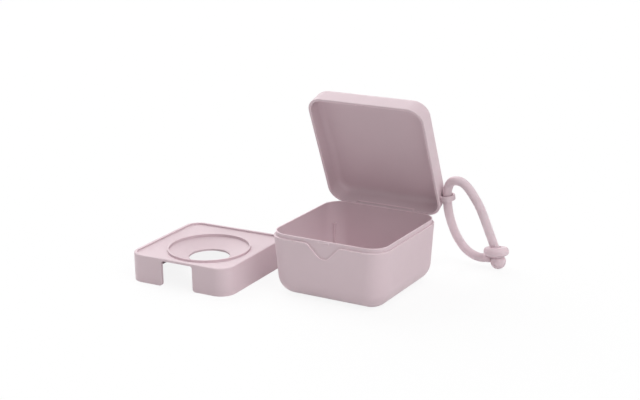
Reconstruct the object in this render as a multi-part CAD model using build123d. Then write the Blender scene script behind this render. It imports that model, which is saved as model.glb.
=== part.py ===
"""Square carrying and steaming case for pacifiers: box, hinged lid, loose insert and silicone strap.

Millimetres. The box stands on z = 0 with its middle at x = y = 0 and its front facing -Y. The lid is
built closed and then turned open about the hinge; the insert stands on the floor to the left.
"""
import math
import os

from build123d import *

# ---- clearances ----
SEAT_CLEARANCE = 0.3        # insert to box wall, all round
LIP_CLEARANCE = 0.35        # lid's inner wall to the box's lip
RIM_GAP = 0.25              # lid's rim above the ledge when closed
PIN_CLEARANCE = 0.06        # hinge pin in the lid's knuckles, on the radius
KNUCKLE_GAP = 0.3           # between box and lid knuckles, and round each barrel
CUT_OVER = 6.0              # how far a cutting shape runs on past what it cuts

# ---- box ----
LEDGE_SIDE = 80.0
LEDGE_CORNER = 12.5
LEDGE_Z = 38.06
LEDGE_WIDTH = 1.3
OUTER_DRAFT = 3.1
FOOT_CORNER = 13.0          # corner radius at floor level, before the bottom is rounded
BOTTOM_ROUND = 12.2
LIP_WALL = 0.6
LIP_HEIGHT = 2.6
LIP_ROOT = 3.0              # how deep the lip's block is set into the box
CAVITY_DRAFT = 2.0
BOX_FLOOR = 2.0
CAVITY_CORNER_LOSS = 1.2    # cavity's corner radius below the box's, at the floor
LEDGE_ROUND = 0.35
LIP_ROUND = 0.22

# ---- thumb notch and snap bump, both centred on the front ----
NOTCH_DEPTH = 8.86          # below the ledge
NOTCH_TIP_RADIUS = 6.0
NOTCH_SHOULDER = 3.5
BUMP_WIDTH = 7.6
BUMP_HEIGHT = 0.35
BUMP_RISE = 1.24            # its middle above the ledge
BUMP_RADIUS = 0.8

# ---- corner ribs that carry the insert ----
RIB_THICK = 1.5
RIB_DEPTH = 5.0
RIB_IN_X = 3.85             # rib's middle inside the cavity's mouth
RIB_IN_Y = 2.5              # rib's end inside the ledge's edge
RIB_TOP_Z = 26.3

# ---- hinge ----
HINGE_OUT = 1.35            # axis behind the ledge's edge
HINGE_RISE = 0.97           # axis above the ledge
BARREL_RADIUS = 2.1
PIN_RADIUS = 1.0
BOX_KNUCKLE_HALF = 20.0
LID_KNUCKLE_WIDTH = 8.0
PIN_END_RECESS = 0.3
STOP_BACK = 1.8             # how far the box knuckle's flat back stands behind the axis
STOP_DROP = 2.2             # and how far below the axis it runs
WEB_DEPTH = 6.56            # the knuckle's web below the ledge
WEB_ROOT = 1.0              # and how far it is set into the wall
GUSSET_HEIGHT = 6.0         # the lid knuckles' gussets above the axis
GUSSET_ROOT = 1.5
GUSSET_ANGLE = 30.0         # where a gusset leaves its barrel
RELIEF_REACH = 3.0          # lid's rim cut away before and behind the axis
REST_ANGLE = 67.94          # how far the lid is turned open

# ---- lid ----
LID_OVERHANG = 0.65         # lid's rim beyond the ledge, each side
LID_RIM_CORNER = 10.4
LID_TOP_CORNER = 11.2
LID_RISE = 13.74            # lid's top above the ledge
LID_DRAFT = 1.73
LID_EDGE_ROUND = 5.15
LID_TOP_WALL = 1.8
LID_INNER_ROUND = 4.2
RIM_ROUND_OUT = 0.5
RIM_ROUND_IN = 0.35
POCKET_EXTRA = 0.6          # snap pocket beyond the bump, each way
POCKET_CLEARANCE = 0.05

# ---- lug ring on the lid's right wall, and the strap through it ----
LUG_OUT = 3.4               # eye's middle beyond the lid's rim
LUG_AHEAD = 13.15           # and ahead of the hinge axis
LUG_RISE = 5.8              # and above the ledge
LUG_AXIS = (-0.12, -0.95, 0.28)
LUG_EYE_RADIUS = 3.65
LUG_WALL = 1.2
LUG_THICK = 3.5
LUG_ROUND = 0.5
LUG_ROOT = 1.05             # how far inside the rim's edge the ring is cut off

# ---- insert ----
INSERT_X = -96.27
INSERT_Y = -22.23
INSERT_TURN = 1.56
INSERT_HEIGHT = 18.3
INSERT_CORNER = 9.8
SKIRT_WALL = 1.9
BORDER_WIDTH = 2.0
FIELD_Z = 17.2              # field level where it meets the border
FIELD_FOOT_Z = 15.25        # field level where it meets the collar
PLATE_WALL = 1.2
BOWL_RADIUS = 26.2
COLLAR_WALL = 0.8           # of the raised ring round the bowl
COLLAR_TOP_Z = 16.7
BOWL_EDGE_Z = 14.8
HOLE_RADIUS = 13.3
HOLE_EDGE_Z = 10.5
CUTOUT_HALF = 11.7
CUTOUT_TOP_Z = 16.8
CUTOUT_ROUND = 1.5
SKIRT_END_ROUND = 2.0
INSERT_EDGE_ROUND = 0.6

# ---- strap: a round silicone cord, an eyelet moulded on one end and a ball on the other ----
STRAP_RADIUS = 2.85
STRAP_ROUTE = [
    (60.2, 70.1, 6.7),
    (54.7, 70.1, 4.8),
    (44.3, 70.4, 8.4),
    (37.7, 68.7, 18.1),
    (37.3, 60.9, 30.2),
    (43.7, 41.8, 45.9),
    (43.9, 40.1, 59.2),
    (48.3, 38.4, 65.7),
    (56.5, 39.2, 64.9),
    (64.2, 42.5, 51.7),
    (65.2, 49.3, 41.2),
    (63.1, 64.7, 24.7),
    (64.8, 71.0, 11.8),
    (67.05, 70.1, 5.0),
]
BALL_RADIUS = 5.0
BALL_GAP = 0.3              # eyelet to ball
EYELET_CENTRE = (65.4, 70.4, 11.55)
EYELET_AXIS = (-0.10, 0.18, 0.98)
FLANGE_RADIUS = 8.2
FLANGE_THICK = 5.8
FLANGE_ROUND = 2.6
SLEEVE_RADIUS = 5.0         # below the flange, over the ball's top
SLEEVE_DEPTH = 3.7          # its underside below the flange's middle
EYELET_HOLE_RADIUS = 3.7
BOSS_RADIUS = 3.3           # where the cord's first end is moulded on


def rounded_face(side, corner, z):
    """Square face with rounded corners at height z."""
    return Pos(0, 0, z) * RectangleRounded(side, side, corner)


def shell_block(low_side, low_corner, low_z, high_side, high_corner, high_z):
    """Square block whose side and corner radius change evenly with height."""
    low = rounded_face(low_side, low_corner, low_z)
    high = rounded_face(high_side, high_corner, high_z)
    return loft([low, high], ruled=True)


def prism(side, corner, low_z, high_z):
    """Upright square block with rounded corners."""
    return extrude(rounded_face(side, corner, low_z), high_z - low_z)


def shrink(height, draft):
    """Loss of a square's side over a height, for a draft in degrees on both walls."""
    return 2 * height * math.tan(math.radians(draft))


def along_x(radius, low_x, high_x):
    """Cylinder on the hinge axis."""
    start = Plane(origin=(low_x, hinge_y, hinge_z), x_dir=(0, 1, 0), z_dir=(1, 0, 0))
    return extrude(start * Circle(radius), high_x - low_x)


def profile_along_x(points, low_x, high_x):
    """Prism along X of an outline given as (y, z) pairs."""
    start = Plane(origin=(low_x, 0, 0), x_dir=(0, 1, 0), z_dir=(1, 0, 0))
    return extrude(start * Polygon(*points, align=None), high_x - low_x)


def slab(low, high):
    """Box from its low corner to its high corner."""
    size = [b - a for a, b in zip(low, high)]
    return Pos(*low) * Box(*size, align=(Align.MIN, Align.MIN, Align.MIN))


def upright(radius, height):
    """Cylinder standing on z = 0."""
    return extrude(Circle(radius), height)


def revolved(points):
    """Solid of revolution about Z of an (r, z) outline."""
    return revolve(Plane.XZ * Polygon(*points, align=None), Axis.Z)


# Sizes that several pieces share.
lip_side = LEDGE_SIDE - 2 * LEDGE_WIDTH
lip_corner = LEDGE_CORNER - LEDGE_WIDTH
lip_top = LEDGE_Z + LIP_HEIGHT
cavity_side = lip_side - 2 * LIP_WALL
cavity_corner = lip_corner - LIP_WALL
seat_side = cavity_side - shrink(lip_top - RIB_TOP_Z, CAVITY_DRAFT)
insert_side = seat_side - 2 * SEAT_CLEARANCE
lid_side = LEDGE_SIDE + 2 * LID_OVERHANG
lid_top_z = LEDGE_Z + LID_RISE
lid_inner_side = lip_side + 2 * LIP_CLEARANCE
lid_wall = (lid_side - lid_inner_side) / 2
rim_z = LEDGE_Z + RIM_GAP
bump_z = LEDGE_Z + BUMP_RISE
hinge_y = LEDGE_SIDE / 2 + HINGE_OUT
hinge_z = LEDGE_Z + HINGE_RISE
lug_centre = (lid_side / 2 + LUG_OUT, hinge_y - LUG_AHEAD, LEDGE_Z + LUG_RISE)
barrel_relief = BARREL_RADIUS + KNUCKLE_GAP
lid_knuckle_start = BOX_KNUCKLE_HALF + KNUCKLE_GAP
lid_knuckle_end = lid_knuckle_start + LID_KNUCKLE_WIDTH
pin_half = lid_knuckle_end - PIN_END_RECESS


def make_notch():
    """Cutter for the V-shaped thumb notch: everything outside the lip's face."""
    half = math.sqrt(2) * NOTCH_TIP_RADIUS - NOTCH_TIP_RADIUS
    tip_z = LEDGE_Z - NOTCH_DEPTH - half
    rise = LEDGE_Z - tip_z
    wing = rise + CUT_OVER
    outline = [(-wing - CUT_OVER, LEDGE_Z + CUT_OVER), (-wing, LEDGE_Z), (-rise, LEDGE_Z), (0, tip_z)]
    outline += [(rise, LEDGE_Z), (wing, LEDGE_Z), (wing + CUT_OVER, LEDGE_Z + CUT_OVER)]
    front = Plane(origin=(0, -lip_side / 2, 0), x_dir=(1, 0, 0), z_dir=(0, -1, 0))
    face = make_face(Polyline(*outline, close=True))
    corners = [v for v in face.vertices() if abs(v.Y - LEDGE_Z) < 0.01 and abs(abs(v.X) - rise) < 0.01]
    face = fillet(corners, NOTCH_SHOULDER)
    tip = [v for v in face.vertices() if abs(v.Y - tip_z) < 0.01]
    face = fillet(tip, NOTCH_TIP_RADIUS)
    return extrude(front * face, CUT_OVER)


def make_box():
    """Box with ledge, lip, notch, bump, corner ribs and the middle hinge knuckle."""
    foot_side = LEDGE_SIDE - shrink(LEDGE_Z, OUTER_DRAFT)
    outer = shell_block(foot_side, FOOT_CORNER, 0, LEDGE_SIDE, LEDGE_CORNER, LEDGE_Z)
    outer = fillet(outer.edges().group_by(Axis.Z)[0], BOTTOM_ROUND)
    outer = fillet(outer.edges().group_by(Axis.Z)[-1], LEDGE_ROUND)
    body = outer - make_notch()
    body += prism(lip_side, lip_corner, LEDGE_Z - LIP_ROOT, lip_top)

    knuckle = along_x(BARREL_RADIUS, -BOX_KNUCKLE_HALF, BOX_KNUCKLE_HALF)
    back_y = hinge_y + STOP_BACK
    wall_y = LEDGE_SIDE / 2 - WEB_ROOT
    web = [(wall_y, LEDGE_Z - WEB_DEPTH), (back_y, hinge_z - STOP_DROP), (back_y, hinge_z), (hinge_y, hinge_z)]
    web += [(wall_y, LEDGE_Z)]
    body += knuckle
    body += profile_along_x(web, -BOX_KNUCKLE_HALF, BOX_KNUCKLE_HALF)
    for side in (-1, 1):
        ends = sorted((side * BOX_KNUCKLE_HALF, side * (lid_knuckle_end + KNUCKLE_GAP)))
        body -= along_x(barrel_relief, ends[0], ends[1])
    body -= along_x(PIN_RADIUS, -lid_knuckle_start, lid_knuckle_start)

    low_side = cavity_side - shrink(lip_top - BOX_FLOOR, CAVITY_DRAFT)
    low_corner = FOOT_CORNER - CAVITY_CORNER_LOSS
    cavity = shell_block(low_side, low_corner, BOX_FLOOR, cavity_side, cavity_corner, lip_top)
    cavity = fillet(cavity.edges().group_by(Axis.Z)[0], BOTTOM_ROUND - BOX_FLOOR)
    cavity += prism(cavity_side, cavity_corner, lip_top, lip_top + CUT_OVER)

    rib_x = cavity_side / 2 - RIB_IN_X
    rib_y = LEDGE_SIDE / 2 - RIB_IN_Y - RIB_DEPTH / 2
    for side_x in (-1, 1):
        for side_y in (-1, 1):
            rib = Box(RIB_THICK, RIB_DEPTH, RIB_TOP_Z, align=(Align.CENTER, Align.CENTER, Align.MIN))
            rib = Pos(side_x * rib_x, side_y * rib_y, 0) * rib
            cavity -= rib
    body -= cavity

    bump_y = -lip_side / 2 + BUMP_RADIUS - BUMP_HEIGHT
    bump_start = Plane(origin=(-BUMP_WIDTH / 2, bump_y, bump_z), x_dir=(0, 1, 0), z_dir=(1, 0, 0))
    bump = extrude(bump_start * Circle(BUMP_RADIUS), BUMP_WIDTH)
    bump_low = (-BUMP_WIDTH, bump_y - BUMP_RADIUS, LEDGE_Z)
    bump = bump & slab(bump_low, (BUMP_WIDTH, -lip_side / 2 + LIP_WALL / 2, lip_top))
    body += bump
    body = fillet(body.edges().group_by(Axis.Z)[-1], LIP_ROUND)
    return body


def lug_ring():
    """Ring on the lid's right wall that the strap runs through, in the closed lid's place."""
    outer_radius = LUG_EYE_RADIUS + LUG_WALL
    middle = Plane(origin=lug_centre, z_dir=LUG_AXIS)
    ring = Cylinder(outer_radius, LUG_THICK) - Cylinder(LUG_EYE_RADIUS, LUG_THICK)
    ring = fillet(ring.edges().filter_by(GeomType.CIRCLE), min(LUG_ROUND, 0.45 * LUG_WALL))
    x, y, z = lug_centre
    root_x = lid_side / 2 - LUG_ROOT
    reach = outer_radius + LUG_THICK
    return middle * ring & slab((root_x, y - reach, z - reach), (x + reach, y + reach, z + reach))


def make_lid():
    """Lid in its closed place."""
    depth = lid_top_z - rim_z
    top_side = lid_side - shrink(depth, LID_DRAFT)
    lid = shell_block(lid_side, LID_RIM_CORNER, rim_z, top_side, LID_TOP_CORNER, lid_top_z)
    lid = fillet(lid.edges().group_by(Axis.Z)[-1], LID_EDGE_ROUND)
    lid = fillet(lid.edges().group_by(Axis.Z)[0], RIM_ROUND_OUT)

    root_y = hinge_y - GUSSET_ROOT
    leave_y = hinge_y + BARREL_RADIUS * math.cos(math.radians(GUSSET_ANGLE))
    leave_z = hinge_z + BARREL_RADIUS * math.sin(math.radians(GUSSET_ANGLE))
    for side in (-1, 1):
        ends = sorted((side * lid_knuckle_start, side * lid_knuckle_end))
        gusset = [(root_y, hinge_z), (leave_y, leave_z), (root_y, hinge_z + GUSSET_HEIGHT)]
        lid += along_x(BARREL_RADIUS, ends[0], ends[1])
        lid += profile_along_x(gusset, ends[0], ends[1])

    ceiling = lid_top_z - LID_TOP_WALL
    high_side = lid_inner_side - shrink(ceiling - rim_z, LID_DRAFT)
    rim_corner = LID_RIM_CORNER - lid_wall
    hollow = shell_block(lid_inner_side, rim_corner, rim_z, high_side, LID_TOP_CORNER - lid_wall, ceiling)
    hollow = fillet(hollow.edges().group_by(Axis.Z)[-1], LID_INNER_ROUND)
    hollow += prism(lid_inner_side, rim_corner, rim_z - CUT_OVER, rim_z)
    lid -= hollow

    relief = along_x(barrel_relief, -lid_knuckle_start, lid_knuckle_start)
    relief_low = (-lid_knuckle_start, hinge_y - RELIEF_REACH, rim_z - CUT_OVER)
    relief += slab(relief_low, (lid_knuckle_start, hinge_y + RELIEF_REACH, hinge_z))
    lid -= relief
    for side in (-1, 1):
        ends = sorted((side * BOX_KNUCKLE_HALF, side * (lid_knuckle_end + KNUCKLE_GAP)))
        lid -= along_x(PIN_RADIUS + PIN_CLEARANCE, ends[0], ends[1])

    pocket_half = BUMP_WIDTH / 2 + POCKET_EXTRA
    pocket_y = -lid_inner_side / 2 - BUMP_HEIGHT - POCKET_CLEARANCE
    pocket_low = (-pocket_half, pocket_y, rim_z - CUT_OVER)
    pocket_high = (pocket_half, pocket_y + CUT_OVER, bump_z + BUMP_RADIUS + POCKET_EXTRA)
    lid -= slab(pocket_low, pocket_high)
    lid += lug_ring()
    return lid


def funnel(side, corner, high_z, radius, low_z):
    """Solid between a rounded square above and a circle below."""
    straight = side / 2 - corner
    split = math.degrees(math.atan2(side / 2, straight))
    stops = []
    for quarter in range(4):
        stops += [quarter * 90 + 90 - split, quarter * 90 + split]
    arcs = []
    for first, second in zip(stops, stops[1:] + [stops[0] + 360]):
        arcs.append(CenterArc((0, 0, low_z), radius, first, second - first))
    circle = make_face(arcs)
    return loft([circle, rounded_face(side, corner, high_z)], ruled=True)


def make_insert():
    """Insert standing on the floor, in its own frame."""
    field_side = insert_side - 2 * BORDER_WIDTH
    field_corner = INSERT_CORNER - BORDER_WIDTH
    inner_side = insert_side - 2 * SKIRT_WALL
    inner_corner = INSERT_CORNER - SKIRT_WALL
    block = prism(insert_side, INSERT_CORNER, 0, INSERT_HEIGHT)
    block = fillet(block.edges().group_by(Axis.Z)[-1], INSERT_EDGE_ROUND)

    collar_radius = BOWL_RADIUS + COLLAR_WALL
    top = funnel(field_side, field_corner, FIELD_Z, collar_radius, FIELD_FOOT_Z)
    top += prism(field_side, field_corner, FIELD_Z, INSERT_HEIGHT + CUT_OVER)
    top -= Pos(0, 0, HOLE_EDGE_Z) * upright(collar_radius, COLLAR_TOP_Z - HOLE_EDGE_Z)
    bowl = [(0, HOLE_EDGE_Z), (HOLE_RADIUS, HOLE_EDGE_Z), (BOWL_RADIUS, BOWL_EDGE_Z)]
    bowl += [(BOWL_RADIUS, INSERT_HEIGHT), (0, INSERT_HEIGHT)]
    top += revolved(bowl)

    under = prism(inner_side, inner_corner, -CUT_OVER, FIELD_Z - PLATE_WALL)
    under -= funnel(inner_side, inner_corner, FIELD_Z - PLATE_WALL, collar_radius, FIELD_FOOT_Z - PLATE_WALL)
    bulge = [(0, HOLE_EDGE_Z - PLATE_WALL), (HOLE_RADIUS, HOLE_EDGE_Z - PLATE_WALL)]
    bulge += [(collar_radius, BOWL_EDGE_Z - PLATE_WALL), (collar_radius, FIELD_Z), (0, FIELD_Z)]
    under -= revolved(bulge)

    block -= under
    block -= top
    block -= upright(HOLE_RADIUS, INSERT_HEIGHT)

    front = Plane(origin=(0, -inner_side / 2, 0), x_dir=(1, 0, 0), z_dir=(0, -1, 0))
    window = Rectangle(2 * CUTOUT_HALF, 2 * CUTOUT_TOP_Z)
    window = fillet(window.vertices(), CUTOUT_ROUND)
    block -= extrude(front * window, CUT_OVER)
    low_edges = block.edges().filter_by(Axis.Y).group_by(Axis.Z)[0]
    feet = [e for e in low_edges if e.center().Y < -inner_side / 2]
    return fillet(feet, SKIRT_END_ROUND)


def strap_path():
    """Centre line of the strap, with each bend taking 45 % of the shorter run beside it."""
    points = [Vector(*p) for p in STRAP_ROUTE]
    radii = []
    for before, here, after in zip(points, points[1:], points[2:]):
        turn = math.radians((here - before).get_angle(after - here))
        shorter = min((here - before).length, (after - here).length)
        radii.append(0.45 * shorter / math.tan(turn / 2))
    print("strap bend radii, mm:", [round(r, 1) for r in radii])
    return FilletPolyline(*points, radius=radii)


def make_strap():
    """Round cord from the eyelet, up through the lug, over and down through the eyelet to the ball."""
    path = strap_path()
    section = Plane(origin=path @ 0, z_dir=path % 0) * Circle(STRAP_RADIUS)
    cord = sweep(section, path)
    ideal = math.pi * STRAP_RADIUS**2 * path.length
    print(f"strap length {path.length:.1f} mm, tube volume {cord.volume:.0f}, section x length {ideal:.0f}")
    return cord


def make_eyelet():
    """Flanged eye on the strap's first end, cupped underneath to clear the ball."""
    plane = Plane(origin=EYELET_CENTRE, z_dir=EYELET_AXIS)
    flange = Cylinder(FLANGE_RADIUS, FLANGE_THICK)
    flange = fillet(flange.edges().filter_by(GeomType.CIRCLE), min(FLANGE_ROUND, 0.45 * FLANGE_THICK))
    sleeve = Pos(0, 0, -SLEEVE_DEPTH) * upright(SLEEVE_RADIUS, SLEEVE_DEPTH)
    eyelet = plane * (flange + sleeve)
    eyelet += Pos(*STRAP_ROUTE[0]) * Sphere(BOSS_RADIUS)
    eyelet -= plane * Cylinder(EYELET_HOLE_RADIUS, 2 * (FLANGE_THICK + SLEEVE_DEPTH))
    eyelet -= Pos(*STRAP_ROUTE[-1]) * Sphere(BALL_RADIUS + BALL_GAP)
    return eyelet


def opened(shape):
    """Turn a closed-lid shape to the open rest pose."""
    return shape.rotate(Axis((0, hinge_y, hinge_z), (1, 0, 0)), -REST_ANGLE)


def main():
    os.makedirs("parts", exist_ok=True)
    pieces = {
        "base": make_box(),
        "lid": opened(make_lid()),
        "hinge_pin": along_x(PIN_RADIUS, -pin_half, pin_half),
        "insert": Pos(INSERT_X, INSERT_Y, 0) * Rot(0, 0, INSERT_TURN) * make_insert(),
        "strap": make_strap(),
        "strap_eyelet": make_eyelet(),
        "strap_ball": Pos(*STRAP_ROUTE[-1]) * Sphere(BALL_RADIUS),
    }
    for name, shape in pieces.items():
        solids = shape.solids()
        print(name, "solids", len(solids), "volume", round(shape.volume), "valid", shape.is_valid)
        piece = solids[0] if len(solids) == 1 else Compound(solids)
        piece.label = name
        export_step(piece, f"parts/{name}.step")


main()
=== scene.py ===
"""Looks of the pacifier case: camera, plastic and silicone materials, the strap, the floor and the light."""
import math

import bpy
from mathutils import Matrix, Vector


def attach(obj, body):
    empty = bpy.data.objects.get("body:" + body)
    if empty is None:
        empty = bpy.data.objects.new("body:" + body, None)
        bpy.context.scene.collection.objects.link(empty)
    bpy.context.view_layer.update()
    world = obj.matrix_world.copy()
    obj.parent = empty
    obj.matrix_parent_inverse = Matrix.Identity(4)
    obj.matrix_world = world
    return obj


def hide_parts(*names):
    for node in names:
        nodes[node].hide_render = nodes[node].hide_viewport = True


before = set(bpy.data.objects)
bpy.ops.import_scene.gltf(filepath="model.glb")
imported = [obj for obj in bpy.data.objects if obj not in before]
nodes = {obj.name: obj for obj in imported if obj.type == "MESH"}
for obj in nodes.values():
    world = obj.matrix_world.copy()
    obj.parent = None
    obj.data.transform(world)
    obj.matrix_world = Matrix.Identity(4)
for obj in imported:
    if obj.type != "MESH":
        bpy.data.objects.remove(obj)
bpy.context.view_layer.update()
scene = bpy.context.scene
scene.view_settings.view_transform = "Standard"

# Camera: degrees round from -Y towards +X, above the floor and of roll, then millimetres and metres.
CAMERA_TURN = 30.844
CAMERA_HEIGHT = 16.975
CAMERA_ROLL = -0.910
CAMERA_LENS = 74.50
CAMERA_SENSOR = 36
CAMERA_PLACE = (0.38362, -0.68437, 0.29581)
NEAREST_SEEN = 0.05

# Materials: the colours, then what all of the moulded materials share, with lengths in metres.
PINK = (0.69, 0.553, 0.593)
SOFT_PINK = (0.735, 0.595, 0.638)
COLOUR_SWING = 0.035       # share by which the slow flow lightens and darkens the colour
FLOW_SCALE = 14.0
PATCH_SCALE = 0.12         # share of the grain's scale at which patches of gloss and of the painted edge highlight change
SMOOTHER = 0.05
ROUGHER = 0.06
GRAIN_STRENGTH = 0.5
WAVE_DEPTH = 4             # times the grain's depth
WAVE_STRENGTH = 0.12
# Painted highlight on the outer edges, standing in for the light that rims and ledges catch: gain and lift
# of the colour there.
EDGE_HIGHLIGHT_GAIN = 1.25
EDGE_HIGHLIGHT_LIFT = 0.03
EDGE_REACH = 0.0006
EDGE_SAMPLES = 8
SHEEN_ROUGHNESS = 0.5
SUBSURFACE_RADIUS = (1.0, 0.8, 0.8)
SUBSURFACE_SCALE = 0.0012

# Strap: a limp silicone cord, with its route in millimetres.
STRAP_DIAMETER = 0.0057
ROUTE = [
    (60.2, 70.1, 6.7),
    (54.7, 70.1, 4.8),
    (44.3, 70.4, 8.4),
    (37.7, 68.7, 18.1),
    (37.3, 60.9, 30.2),
    (43.7, 41.8, 45.9),
    (43.9, 40.1, 59.2),
    (48.3, 38.4, 65.7),
    (56.5, 39.2, 64.9),
    (64.2, 42.5, 51.7),
    (65.2, 49.3, 41.2),
    (63.1, 64.7, 24.7),
    (64.8, 71.0, 11.8),
    (67.05, 70.1, 5.0),
]

# Floor and light.
FLOOR_SIZE = 12
FLOOR_DROP = 0.0002
PAPER = (0.93, 0.93, 0.93)
PAPER_ROUGHNESS = 0.9
WHITE_SHARE = 0.88         # of the floor as the camera sees it; the rest is the lit floor with its shadow
WORLD_STRENGTH = 0.02
LAMP_SPREAD = 60.0
LAMPS = [                  # name, degrees round from -Y towards +X, height in degrees, strength
    ("corner", 45.0, 45.0, 0.8),
    ("right", 90.0, 45.0, 1.25),
    ("rear_left", -135.0, 45.0, 1.3),
    ("left_low", -90.0, 25.0, 1.05),
    ("overhead", 0.0, 88.0, 0.4),
]


def towards(turn, height):
    """Unit vector to a place that many degrees round from -Y towards +X and above the floor."""
    around, above = math.radians(turn), math.radians(height)
    return Vector((math.sin(around) * math.cos(above), -math.cos(around) * math.cos(above), math.sin(above)))


# ---------------------------------------------------------------- camera
def add_camera():
    turn = math.radians(CAMERA_TURN)
    roll = math.radians(CAMERA_ROLL)
    back = towards(CAMERA_TURN, CAMERA_HEIGHT)
    right = Vector((math.cos(turn), math.sin(turn), 0))
    up = back.cross(right)
    rolled_right = right * math.cos(roll) + up * math.sin(roll)
    rolled_up = -right * math.sin(roll) + up * math.cos(roll)
    facing = Matrix((rolled_right, rolled_up, back)).transposed()

    data = bpy.data.cameras.new("camera")
    data.sensor_width = CAMERA_SENSOR
    data.lens = CAMERA_LENS
    data.clip_start = NEAREST_SEEN
    camera = bpy.data.objects.new("camera", data)
    camera.matrix_world = Matrix.Translation(CAMERA_PLACE) @ facing.to_4x4()
    scene.collection.objects.link(camera)
    scene.camera = camera


# ---------------------------------------------------------------- nodes of the materials
def node_tree(name):
    material = bpy.data.materials.new(name)
    material.use_nodes = True
    tree = material.node_tree
    return material, tree, tree.nodes["Principled BSDF"]


def link(tree, source, target):
    tree.links.new(source, target)


def noise(tree, coords, scale, detail, rough):
    node = tree.nodes.new("ShaderNodeTexNoise")
    node.inputs["Scale"].default_value = scale
    node.inputs["Detail"].default_value = detail
    node.inputs["Roughness"].default_value = rough
    link(tree, coords, node.inputs["Vector"])
    return node.outputs["Fac"]


def span(tree, value, low, high, from_low=0.0, from_high=1.0):
    """Map a value from one range to another, held within it."""
    node = tree.nodes.new("ShaderNodeMapRange")
    node.inputs["From Min"].default_value = from_low
    node.inputs["From Max"].default_value = from_high
    node.inputs["To Min"].default_value = low
    node.inputs["To Max"].default_value = high
    link(tree, value, node.inputs["Value"])
    return node.outputs["Result"]


def calculated(tree, operation, first, second):
    node = tree.nodes.new("ShaderNodeMath")
    node.operation = operation
    link(tree, first, node.inputs[0])
    link(tree, second, node.inputs[1])
    return node.outputs["Value"]


def colour_mix(tree, factor):
    node = tree.nodes.new("ShaderNodeMix")
    node.data_type = "RGBA"
    link(tree, factor, node.inputs["Factor"])
    return node


def bumped(tree, height, distance, strength):
    node = tree.nodes.new("ShaderNodeBump")
    node.inputs["Distance"].default_value = distance
    node.inputs["Strength"].default_value = strength
    link(tree, height, node.inputs["Height"])
    return node


def outer_edges(tree, edge):
    """Mask of the painted edge highlight: up to edge where the surface turns sharply outwards, where the
    inside is soon left again.
    """
    within = tree.nodes.new("ShaderNodeAmbientOcclusion")
    within.inside = True
    within.samples = EDGE_SAMPLES
    within.inputs["Distance"].default_value = EDGE_REACH
    return span(tree, within.outputs["AO"], 0, edge, 1.0, 0.55)


def varied_colour(tree, colour, slow, middle, edge):
    """The slow flow of the moulding, and a painted highlight that lightens the outer edges."""
    light = tuple(min(1.0, c * (1 + COLOUR_SWING)) for c in colour)
    dark = tuple(c * (1 - COLOUR_SWING) for c in colour)
    flow = colour_mix(tree, span(tree, slow, 0, 1, 0.3, 0.7))
    flow.inputs["A"].default_value = (*dark, 1)
    flow.inputs["B"].default_value = (*light, 1)

    # Painted highlight: the outer edges are lightened in slow patches, as if they caught the light.
    patches = span(tree, middle, 0.7, 1.0, 0.35, 0.65)
    painted_highlight = colour_mix(tree, calculated(tree, "MULTIPLY", outer_edges(tree, edge), patches))
    highlight_colour = tuple(min(1.0, c * EDGE_HIGHLIGHT_GAIN + EDGE_HIGHLIGHT_LIFT) for c in colour)
    link(tree, flow.outputs["Result"], painted_highlight.inputs["A"])
    painted_highlight.inputs["B"].default_value = (*highlight_colour, 1)
    return painted_highlight.outputs["Result"]


def moulded(name, colour, rough, grain, grain_depth, edge, sheen, ior=1.46, subsurface=0.0):
    """Matt moulded plastic or silicone: fine spark grain, slow flow variation, painted highlights on the
    outer edges.
    """
    material, tree, shader = node_tree(name)
    coords = tree.nodes.new("ShaderNodeTexCoord").outputs["Object"]
    fine = noise(tree, coords, grain, 3.0, 0.6)
    middle = noise(tree, coords, grain * PATCH_SCALE, 4.0, 0.5)
    slow = noise(tree, coords, FLOW_SCALE, 3.0, 0.5)

    link(tree, varied_colour(tree, colour, slow, middle, edge), shader.inputs["Base Color"])
    link(tree, span(tree, middle, rough - SMOOTHER, rough + ROUGHER, 0.3, 0.7), shader.inputs["Roughness"])
    grains = bumped(tree, fine, grain_depth, GRAIN_STRENGTH)
    waves = bumped(tree, slow, grain_depth * WAVE_DEPTH, WAVE_STRENGTH)
    link(tree, grains.outputs["Normal"], waves.inputs["Normal"])
    link(tree, waves.outputs["Normal"], shader.inputs["Normal"])

    shader.inputs["IOR"].default_value = ior
    shader.inputs["Sheen Weight"].default_value = sheen
    shader.inputs["Sheen Roughness"].default_value = SHEEN_ROUGHNESS
    shader.inputs["Subsurface Weight"].default_value = subsurface
    shader.inputs["Subsurface Radius"].default_value = SUBSURFACE_RADIUS
    shader.inputs["Subsurface Scale"].default_value = SUBSURFACE_SCALE
    material.diffuse_color = (*colour, 1)
    return material


def dress(names, material):
    for name in names:
        nodes[name].data.materials.clear()
        nodes[name].data.materials.append(material)


# ---------------------------------------------------------------- strap
def add_strap(silicone):
    """The strap as one smooth cord, in place of the solid tube, with the eyelet and ball on it."""
    curve = bpy.data.curves.new("strap_cord", "CURVE")
    curve.dimensions = "3D"
    curve.resolution_u = 24
    curve.bevel_depth = STRAP_DIAMETER / 2
    curve.bevel_resolution = 10
    curve.use_fill_caps = True
    spline = curve.splines.new("NURBS")
    spline.points.add(len(ROUTE) - 1)
    for point, place in zip(spline.points, ROUTE):
        point.co = (*(c / 1000 for c in place), 1)
    spline.order_u = 3
    spline.use_endpoint_u = True
    strap = bpy.data.objects.new("strap_cord", curve)
    scene.collection.objects.link(strap)
    curve.materials.append(silicone)
    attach(strap, "strap")
    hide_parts("strap")


# ---------------------------------------------------------------- floor, world and lamps
def seen(tree):
    """1 for rays that show the background: from the camera, through glass, or by way of a reflection."""
    path = tree.nodes.new("ShaderNodeLightPath").outputs
    first = calculated(tree, "MAXIMUM", path["Is Camera Ray"], path["Is Glossy Ray"])
    return calculated(tree, "MAXIMUM", first, path["Is Transmission Ray"])


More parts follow.
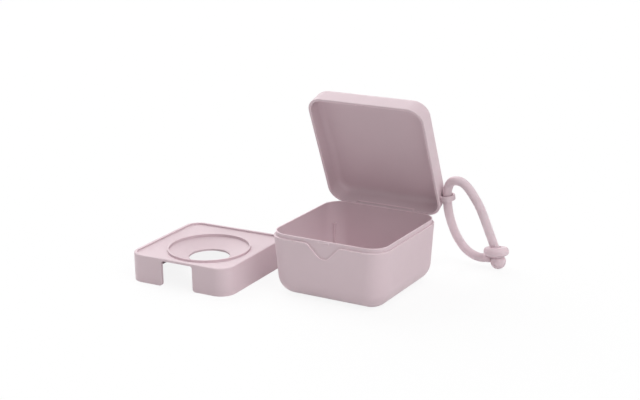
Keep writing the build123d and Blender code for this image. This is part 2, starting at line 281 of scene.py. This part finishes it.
def whitened(tree, surface, output, share):
    """Mix plain white into a surface for the rays that show the background."""
    white = tree.nodes.new("ShaderNodeEmission")
    white.inputs["Color"].default_value = (1, 1, 1, 1)
    white.inputs["Strength"].default_value = 1.0
    mix = tree.nodes.new("ShaderNodeMixShader")
    link(tree, span(tree, seen(tree), 0.0, share), mix.inputs["Fac"])
    link(tree, surface, mix.inputs[1])
    link(tree, white.outputs["Emission"], mix.inputs[2])
    link(tree, mix.outputs["Shader"], output)


def add_floor():
    bpy.ops.mesh.primitive_plane_add(size=FLOOR_SIZE, location=(0, 0, -FLOOR_DROP))
    floor = bpy.context.object
    floor.name = "floor"
    material, tree, shader = node_tree("floor_paper")
    shader.inputs["Base Color"].default_value = (*PAPER, 1)
    shader.inputs["Roughness"].default_value = PAPER_ROUGHNESS
    surface = tree.nodes["Material Output"].inputs["Surface"]
    whitened(tree, shader.outputs["BSDF"], surface, WHITE_SHARE)
    floor.data.materials.append(material)


def add_world():
    world = bpy.data.worlds.new("studio")
    scene.world = world
    world.use_nodes = True
    tree = world.node_tree
    background = tree.nodes["Background"]
    background.inputs["Color"].default_value = (1, 1, 1, 1)
    background.inputs["Strength"].default_value = WORLD_STRENGTH
    whitened(tree, background.outputs["Background"], tree.nodes["World Output"].inputs["Surface"], 1.0)


def add_lamp(name, turn, height, strength):
    light = bpy.data.lights.new(name, "SUN")
    light.angle = math.radians(LAMP_SPREAD)
    light.energy = strength
    lamp = bpy.data.objects.new(name, light)
    lamp.rotation_euler = towards(turn, height).to_track_quat("Z", "Y").to_euler()
    scene.collection.objects.link(lamp)


# ---------------------------------------------------------------- the scene
add_camera()
# edge: strength of the painted highlight on the outer edges.
case_plastic = moulded(
    "case_plastic", PINK, rough=0.52, grain=2600.0, grain_depth=0.00003, edge=1.0, sheen=0.05
)
insert_plastic = moulded(
    "insert_plastic", PINK, rough=0.52, grain=2600.0, grain_depth=0.00003, edge=0.3, sheen=0.05
)
pin_plastic = moulded(
    "pin_plastic", PINK, rough=0.45, grain=3200.0, grain_depth=0.00002, edge=0.4, sheen=0.0
)
silicone = moulded(
    "silicone", SOFT_PINK, rough=0.6, grain=3600.0, grain_depth=0.00002, edge=0.3, sheen=0.12,
    ior=1.41, subsurface=0.25,
)
dress(["base", "lid"], case_plastic)
dress(["insert"], insert_plastic)
dress(["hinge_pin"], pin_plastic)
dress(["strap_eyelet", "strap_ball"], silicone)
add_strap(silicone)
add_floor()
add_world()
for lamp in LAMPS:
    add_lamp(*lamp)
